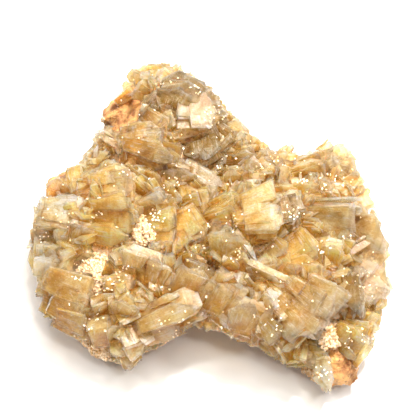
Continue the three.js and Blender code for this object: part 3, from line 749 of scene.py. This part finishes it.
def tone_at(point, rnd):
    """The colour of a loose crystal there: the nearest tone zone, a little varied."""
    u, v = in_view(point)

    def distance(zone):
        _, right, up, reach = zone
        return math.hypot(right - u, up - v) / reach + rnd.random() * ZONE_BLEND

    return varied(TONES[min(TONE_ZONES, key=distance)[0]], rnd)


def varied(tone, rnd, spread=TONE_SPREAD):
    """The tone a little lighter or darker, warmer or cooler."""
    light = 1 + rnd.uniform(-spread, spread)
    warm = rnd.uniform(-WARM_SPREAD, WARM_SPREAD)
    red, green, blue = tone
    return min(1, red * light * (1 + warm)), min(1, green * light), min(1, blue * light * (1 - 2 * warm))


def sheaf(growth, place, size, tone, rnd, patterns):
    """One broad blade, and thin plates grown on its faces and sides, which part towards the tip."""
    length, width, thick = size
    core = tuple(whole * share for whole, share in zip(size, CORE))
    growth.add(rnd.choice(patterns), place, core, tone, rnd.random())
    back = Matrix.Translation((0, -length / 2, 0))
    for _ in range(max(1, round(width * thick / PLATE_SECTION))):
        side = rnd.uniform(-PLATE_ASIDE, PLATE_ASIDE)
        level = rnd.choice((-1, 1)) * rnd.uniform(*PLATE_LEVELS)
        plate = tuple(whole * rnd.uniform(*shares) for whole, shares in zip(size, PLATE_SHARES))
        fan = Matrix.Rotation(level * FAN + rnd.uniform(-FAN_STRAY, FAN_STRAY), 4, "X")
        splay = Matrix.Rotation(-side * SPLAY + rnd.uniform(-SPLAY_STRAY, SPLAY_STRAY), 4, "Z")
        spin = Matrix.Rotation(rnd.uniform(-SPIN_STRAY, SPIN_STRAY), 4, "Y")
        shift = Matrix.Translation((side * width * PLATE_OUT[0], 0, level * thick * PLATE_OUT[1]))
        start = rnd.uniform(*PLATE_START) * (length - plate[0])
        out = Matrix.Translation((0, start + plate[0] / 2, 0))
        set_in = place @ back @ shift @ splay @ fan @ out @ spin
        growth.add(rnd.choice(patterns), set_in, plate, varied(tone, rnd, PLATE_SPREAD), rnd.random())


def dress_crust(piece, rnd):
    """The crust takes the tones of the crystals around, and is marked as bare crust."""
    mesh = piece.data
    give(mesh, "tone", [(*tone_at(face.center / MM, rnd), 1) for face in mesh.polygons])
    give(mesh, "bare", np.ones(len(mesh.polygons)))
    mesh.attributes.new("tip", "FLOAT", "FACE")
    mesh.uv_layers.new(name="grain")
    mesh.uv_layers.new(name="edge")


rnd = random.Random(417)
dress_crust(crust, rnd)
crystals = Growth(keeps_rock_bare=True)
for at, turn, rise, roll, size, tone in CRYSTALS:
    turn, rise, roll = map(math.radians, (turn, rise, roll))
    axis = math.cos(rise) * (math.cos(turn) * RIGHT + math.sin(turn) * UP) + math.sin(rise) * TO_VIEWER
    place = planted(seen_at(at), TO_VIEWER, CRUST, STANDING, axis, TO_VIEWER, roll, size)
    length, width, thick = size
    sheaf(crystals, place, (length * BROADER, width * BROADER, thick), TONES[tone], rnd, BLADES)


def spots(count, rnd):
    """Random places over the rock, even by area, with the way the rock faces there."""
    rock_faces = frame["nodes"]["matrix"].data
    rock_faces.calc_loop_triangles()
    triangles = [
        t for t in rock_faces.loop_triangles if t.normal.z > LOWEST_NORMAL and t.center.z > GROWN_FROM * MM
    ]
    areas = [t.area for t in triangles]
    for triangle in rnd.choices(triangles, areas, k=count):
        a, b = sorted((rnd.random(), rnd.random()))
        p, q, r = (rock_faces.vertices[i].co / MM for i in triangle.vertices)
        yield p * a + q * (b - a) + r * (1 - b), triangle.normal.copy()


def on_a_crystal(spot):
    """Whether one of the named crystals stands over this place in the view."""
    seen = in_view(spot)
    return any(
        math.dist(seen, at) < KEPT_CLEAR * (size[0] + size[1]) / 2 for at, *_, size, _ in CRYSTALS
    )


def loose(growth, rnd, count, sizes, cover, standing, tilt, bare=False):
    """Small crystals over the rock: sheaves on its crust, or single grains on its bare patches."""
    for spot, normal in spots(count, rnd):
        share = bareness(spot)
        if share < GRAINS_FROM if bare else share > CRYSTALS_TO or on_a_crystal(spot):
            continue
        swing = rnd.uniform(0, math.tau)
        lean = math.radians(rnd.uniform(*tilt))
        size = tuple(rnd.uniform(*span) for span in sizes)
        aside = Vector((math.cos(swing), math.sin(swing), 0)).cross(normal).normalized()
        axis = normal * math.cos(lean) + aside * math.sin(lean)
        roll = rnd.uniform(0, math.pi)
        place = planted(spot, normal, cover, standing, axis, aside.cross(normal), roll, size)
        if bare:
            patch = BARE_ROCK[int(nearest_bare(spot)[0])]
            if patch["tone"] == "rust":
                continue
            pattern = rnd.choice(SMALL_BLADES)
            tone = varied(ROCK_TONES[patch["tone"]], rnd, GRAIN_SPREAD)
            growth.add(pattern, place, size, tone, rnd.random())
        else:
            sheaf(growth, place, size, tone_at(spot, rnd), rnd, SMALL_BLADES)


loose(crystals, rnd, **LOOSE)
crystals.grown_together(crust)
apply_modifier(crust, "DECIMATE", decimate_type="COLLAPSE", ratio=KEPT_FACES)
crust.name = "stilbite_crystals"


def mark_hollows(piece):
    """Gives every corner the share of the sky over it that its neighbours hide."""
    mesh = piece.data
    tree = BVHTree.FromPolygons([v.co for v in mesh.vertices], [p.vertices for p in mesh.polygons])
    values = []
    for v in mesh.vertices:
        start = v.co + v.normal * HOLLOW_START * MM
        hidden = 0
        for direction in SKY:
            way = direction if direction.dot(v.normal) > 0 else direction.reflect(v.normal)
            if tree.ray_cast(start, way, HOLLOW_REACH * MM)[0] is not None:
                hidden += 1
        values.append(hidden / len(SKY))
    give(mesh, "hollow", values, "POINT")


# the hollow share darkens the crystals' colour below: painted shade
mark_hollows(crust)

# Sugary grains, and painted glints
sugar_and_painted_glints = Growth()
loose(sugar_and_painted_glints, rnd, **SUGAR, bare=True)
glint_tree = BVHTree.FromPolygons(
    [v.co / MM for v in crust.data.vertices], [face.vertices for face in crust.data.polygons]
)


def glint(origin, direction):
    """A tiny white grain, a painted glint, where this ray meets the crystals."""
    spot = glint_tree.ray_cast(origin, direction.normalized())[0]
    if spot is None:
        return
    place = Euler([rnd.uniform(0, math.tau) for _ in range(3)]).to_matrix().to_4x4()
    place.translation = spot
    size = tuple(rnd.uniform(*span) for span in GLINT_SIZES)
    sugar_and_painted_glints.add(rnd.choice(SMALL_BLADES), place, size, GLINT_WHITE, rnd.random())


for u, v, radius, count in GLINTS:
    for _ in range(count):
        turn = rnd.uniform(0, math.tau)
        away = radius * math.sqrt(rnd.random())
        aim = RIGHT * (u + away * math.cos(turn)) + UP * (v + away * math.sin(turn))
        glint(EYE, VIEW_TARGET + aim - EYE)
for spot, normal in spots(SCATTERED_GLINTS, rnd):
    glint(spot + normal * GLINT_START, -normal)
sugar_and_painted_glints_piece = bpy.data.objects.new("sugary_crystals_and_painted_glints", sugar_and_painted_glints.mesh("sugary crystals and painted glints"))
scene.collection.objects.link(sugar_and_painted_glints_piece)


# Materials
def nodes_of(material):
    material.use_nodes = True
    tree = material.node_tree
    tree.nodes.clear()
    return tree


def node(tree, kind, **values):
    made = tree.nodes.new(kind)
    for key, value in values.items():
        setattr(made, key, value)
    return made


def plug(tree, value, socket):
    """Links another node's output, or sets a plain value."""
    if isinstance(value, bpy.types.NodeSocket):
        tree.links.new(value, socket)
    else:
        socket.default_value = value


def maths(tree, operation, *values):
    made = node(tree, "ShaderNodeMath", operation=operation)
    for value, socket in zip(values, made.inputs):
        plug(tree, value, socket)
    return made.outputs[0]


def mixed(tree, factor, first, second, blend="MIX"):
    made = node(tree, "ShaderNodeMix", data_type="RGBA", blend_type=blend)
    for value, name in ((factor, "Factor"), (first, "A"), (second, "B")):
        plug(tree, value, made.inputs[name])
    return made.outputs["Result"]


def noise_of(tree, vector, scale, detail, roughness=0.5, distortion=0.0):
    made = node(tree, "ShaderNodeTexNoise")
    made.inputs["Scale"].default_value = scale
    made.inputs["Detail"].default_value = detail
    made.inputs["Roughness"].default_value = roughness
    made.inputs["Distortion"].default_value = distortion
    plug(tree, vector, made.inputs["Vector"])
    return made.outputs["Fac"]


def stretched(tree, vector, scale):
    made = node(tree, "ShaderNodeMapping")
    made.inputs["Scale"].default_value = scale
    plug(tree, vector, made.inputs["Vector"])
    return made.outputs["Vector"]


def ramp_of(tree, value, stops):
    made = node(tree, "ShaderNodeValToRGB")
    for index, (place, colour) in enumerate(stops):
        stop = made.color_ramp.elements[index] if index < 2 else made.color_ramp.elements.new(place)
        stop.position = place
        stop.color = (*colour, 1)
    plug(tree, value, made.inputs["Fac"])
    return made.outputs["Color"]


def tinted(tree, colour, value, stops):
    """The colour, multiplied by tints that follow the value."""
    return mixed(tree, 1.0, colour, ramp_of(tree, value, stops), "MULTIPLY")


def span(tree, value, low, high):
    """0 at low, 1 at high."""
    made = node(tree, "ShaderNodeMapRange")
    plug(tree, value, made.inputs["Value"])
    made.inputs["From Min"].default_value = low
    made.inputs["From Max"].default_value = high
    return made.outputs[0]


def crystal_look():
    """The marks of a stilbite blade: clouds, veins, fine lines, white chipped edges that are partly painted
    highlight, painted glints, and honey-dark painted shade in the hollows.
    """
    group = bpy.data.node_groups.new("stilbite blade", "ShaderNodeTree")
    group.interface.new_socket("Tone", in_out="INPUT", socket_type="NodeSocketColor")
    for name in ("Tip", "Bare", "Hollow"):
        group.interface.new_socket(name, in_out="INPUT", socket_type="NodeSocketFloat")
    for name in ("Grain", "Edge"):
        group.interface.new_socket(name, in_out="INPUT", socket_type="NodeSocketVector")
    group.interface.new_socket("Colour", in_out="OUTPUT", socket_type="NodeSocketColor")
    group.interface.new_socket("Height", in_out="OUTPUT", socket_type="NodeSocketFloat")
    given = node(group, "NodeGroupInput").outputs
    place = node(group, "ShaderNodeTexCoord").outputs["Object"]

    clouds = noise_of(group, place, **CLOUDS)
    veins = noise_of(group, place, **VEINS)
    grit = noise_of(group, place, **GRIT)
    lines = noise_of(group, stretched(group, given["Grain"], LINE_STRETCH), **LINES)
    body = tinted(group, given["Tone"], clouds, CLOUD_TINTS)
    sides = node(group, "ShaderNodeSeparateXYZ")
    plug(group, given["Edge"], sides.inputs[0])
    across, along = sides.outputs[0], sides.outputs[1]
    reach = maths(group, "MULTIPLY_ADD", clouds, LENGTH_CLOUDS, span(group, along, *ROOT_TO_TIP))
    body = tinted(group, body, reach, LENGTH_TINTS)
    body = tinted(group, body, veins, VEIN_TINTS)
    body = tinted(group, body, grit, GRIT_TINTS)

    def both(first, second):
        return maths(group, "MULTIPLY", first, second)

    # white flecks, partly pale marks and partly painted sparkle
    sparkle_flecks = span(group, noise_of(group, place, **SPARKLE_FLECKS), *SPARKLE_FLECK_SPAN)
    bundles = both(span(group, lines, *LINE_SPAN), span(group, clouds, *LINE_CLOUD_SPAN))
    # painted glints: rare white dots in the colour
    painted_glint_dots = span(group, noise_of(group, place, **PAINTED_GLINT_DOTS), *PAINTED_GLINT_DOT_SPAN)
    painted_glint_dots = both(painted_glint_dots, span(group, veins, *PAINTED_GLINT_DOT_VEIN_SPAN))
    chips = span(group, noise_of(group, place, **CHIPS), *CHIP_SPAN)
    rim = maths(group, "MAXIMUM", maths(group, "ABSOLUTE", across), maths(group, "ABSOLUTE", along))
    outer, inner = OUTLINE_SPANS
    outline = both(span(group, rim, *outer), span(group, rim, *inner))
    outline = both(both(outline, OUTLINE_DEPTH), span(group, veins, *OUTLINE_VEIN_SPAN))
    # the white rim: partly chipped edges, partly painted highlight
    rim = both(span(group, rim, *RIM_SPAN), chips)

    white = painted_glint_dots
    for mark, strength in (
        (sparkle_flecks, SPARKLE_FLECK_WHITE), (bundles, LINE_WHITE), (rim, RIM_WHITE), (given["Tip"], TIP_WHITE),
    ):
        white = maths(group, "MULTIPLY_ADD", mark, strength, white)
    body = mixed(group, maths(group, "MINIMUM", white, 1.0), body, PALE_MARKS_AND_HIGHLIGHTS)
    body = mixed(group, outline, body, OUTLINE_HONEY)
    # painted shade in the hollows
    painted_shade = mixed(group, 1.0, body, PAINTED_SHADE_HONEY, "MULTIPLY")
    body = mixed(group, span(group, given["Hollow"], *PAINTED_SHADE_SPAN), body, painted_shade)
    # dark brown specks, only where the hollow share is high
    hollow_specks = span(group, noise_of(group, place, **HOLLOW_SPECKS), *HOLLOW_SPECK_SPAN)
    hollow_specks = both(hollow_specks, span(group, given["Hollow"], *HOLLOW_SPECK_SHARE_SPAN))
    body = mixed(group, both(hollow_specks, HOLLOW_SPECK_DEPTH), body, HOLLOW_SPECK_BROWN)

    grains = ramp_of(group, noise_of(group, place, **SPECKS), SPECK_TONES)
    grains = mixed(group, SPECK_SHARE, grains, given["Tone"])
    body = mixed(group, given["Bare"], body, grains)

    height = clouds
    for mark, strength in ((lines, LINE_RELIEF), (veins, VEIN_RELIEF), (grit, GRIT_RELIEF)):
        height = maths(group, "MULTIPLY_ADD", mark, strength, height)
    out = node(group, "NodeGroupOutput").inputs
    plug(group, body, out["Colour"])
    plug(group, height, out["Height"])
    return group


def attribute_of(tree, name):
    return node(tree, "ShaderNodeAttribute", attribute_name=name).outputs


def skin_of(material):
    """A material's node tree and its only shader."""
    tree = nodes_of(material)
    skin = node(tree, "ShaderNodeBsdfPrincipled")
    plug(tree, skin.outputs["BSDF"], node(tree, "ShaderNodeOutputMaterial").inputs["Surface"])
    return tree, skin


def embossed(tree, skin, height, strength, distance):
    bump = node(tree, "ShaderNodeBump")
    bump.inputs["Strength"].default_value = strength
    bump.inputs["Distance"].default_value = distance
    plug(tree, height, bump.inputs["Height"])
    plug(tree, bump.outputs["Normal"], skin.inputs["Normal"])


def crystal_material(name, look, transmission, scatter):
    material = bpy.data.materials.new(name)
    tree, skin = skin_of(material)
    marks = node(tree, "ShaderNodeGroup", node_tree=look)
    plug(tree, attribute_of(tree, "tone")["Color"], marks.inputs["Tone"])
    for mark in ("tip", "bare", "hollow"):
        plug(tree, attribute_of(tree, mark)["Fac"], marks.inputs[mark.title()])
    for uv in ("grain", "edge"):
        plug(tree, node(tree, "ShaderNodeUVMap", uv_map=uv).outputs["UV"], marks.inputs[uv.title()])
    turned = node(tree, "ShaderNodeLayerWeight")
    turned.inputs["Blend"].default_value = 0.5
    # painted shade on faces turned aside from the camera
    aside = maths(tree, "MULTIPLY", span(tree, turned.outputs["Facing"], *EDGE_ON_SHADE_SPAN), EDGE_ON_SHADE_DEPTH)
    plug(tree, mixed(tree, aside, marks.outputs["Colour"], EDGE_ON_SHADE_HONEY), skin.inputs["Base Color"])
    embossed(tree, skin, marks.outputs["Height"], RELIEF_STRENGTH, RELIEF)
    skin.inputs["Roughness"].default_value = POLISH
    skin.inputs["IOR"].default_value = STILBITE_IOR
    skin.inputs["Transmission Weight"].default_value = transmission
    skin.inputs["Subsurface Weight"].default_value = scatter
    skin.inputs["Subsurface Radius"].default_value = SCATTER_RADIUS
    skin.inputs["Subsurface Scale"].default_value = SCATTER
    return material


def rock_material():
    material = bpy.data.materials.new("host rock")
    tree, skin = skin_of(material)
    place = node(tree, "ShaderNodeTexCoord").outputs["Object"]
    clouds = noise_of(tree, place, **ROCK_CLOUDS)
    body = tinted(tree, attribute_of(tree, "tone")["Color"], clouds, ROCK_TINTS)
    pits = span(tree, noise_of(tree, place, **PITS), *PIT_SPAN)
    body = mixed(tree, maths(tree, "MULTIPLY", pits, PIT_DEPTH), body, PIT_BROWN)
    plug(tree, body, skin.inputs["Base Color"])
    embossed(tree, skin, noise_of(tree, place, **ROCK_GRAIN), ROCK_RELIEF_STRENGTH, ROCK_RELIEF)
    skin.inputs["Roughness"].default_value = ROCK_ROUGHNESS
    skin.inputs["Subsurface Weight"].default_value = ROCK_SOAK
    skin.inputs["Subsurface Radius"].default_value = ROCK_SOAK_RADIUS
    skin.inputs["Subsurface Scale"].default_value = ROCK_SOAK_DEPTH
    return material


look = crystal_look()
rock.data.materials.clear()
rock.data.materials.append(rock_material())
crust.data.materials.clear()
crust.data.materials.append(crystal_material("stilbite", look, CLEAR, 1.0))
sugar_and_painted_glints_piece.data.materials.append(crystal_material("sugary stilbite and painted glints", look, 0.0, 0.0))

for piece, stands_for, slot in (
    (rock, "matrix", "matrix_rock"),
    (crust, "crystals", "stilbite"),
    (sugar_and_painted_glints_piece, "crystals", "stilbite"),
):
    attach(piece, "root")
    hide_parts(stands_for)

# Table, light and camera
deselect()
bpy.ops.mesh.primitive_plane_add(size=TABLE_SIZE)
floor = bpy.context.object
floor.name = "floor"
floor_finish = bpy.data.materials.new("floor")
floor_finish.use_nodes = True
floor_skin = floor_finish.node_tree.nodes["Principled BSDF"]
floor_skin.inputs["Base Color"].default_value = TABLE_WHITE
floor_skin.inputs["Roughness"].default_value = TABLE_ROUGHNESS
floor.data.materials.append(floor_finish)


def lamp(name, place, size, power, colour):
    light = bpy.data.lights.new(name, "AREA")
    light.shape = "DISK"
    light.size = size
    light.energy = power
    light.color = colour
    holder = bpy.data.objects.new(name, light)
    scene.collection.objects.link(holder)
    holder.location = place
    holder.rotation_euler = (LAMP_AIM - Vector(place)).to_track_quat("-Z", "Y").to_euler()


for values in LAMPS:
    lamp(*values)
world = bpy.data.worlds.new("room")
scene.world = world
world.use_nodes = True
world.node_tree.nodes["Background"].inputs["Color"].default_value = ROOM_LIGHT
world.node_tree.nodes["Background"].inputs["Strength"].default_value = ROOM_STRENGTH

lens = bpy.data.cameras.new("camera")
camera = bpy.data.objects.new("camera", lens)
scene.collection.objects.link(camera)
camera.location = EYE * MM
camera.rotation_euler = (-TO_VIEWER).to_track_quat("-Z", "Y").to_euler()
lens.sensor_width = SENSOR_WIDTH
lens.lens = SENSOR_WIDTH * VIEW_DISTANCE / FRAME_WIDTH
lens.clip_start = NEAREST_SEEN
scene.camera = camera
scene.view_settings.view_transform = "Standard"
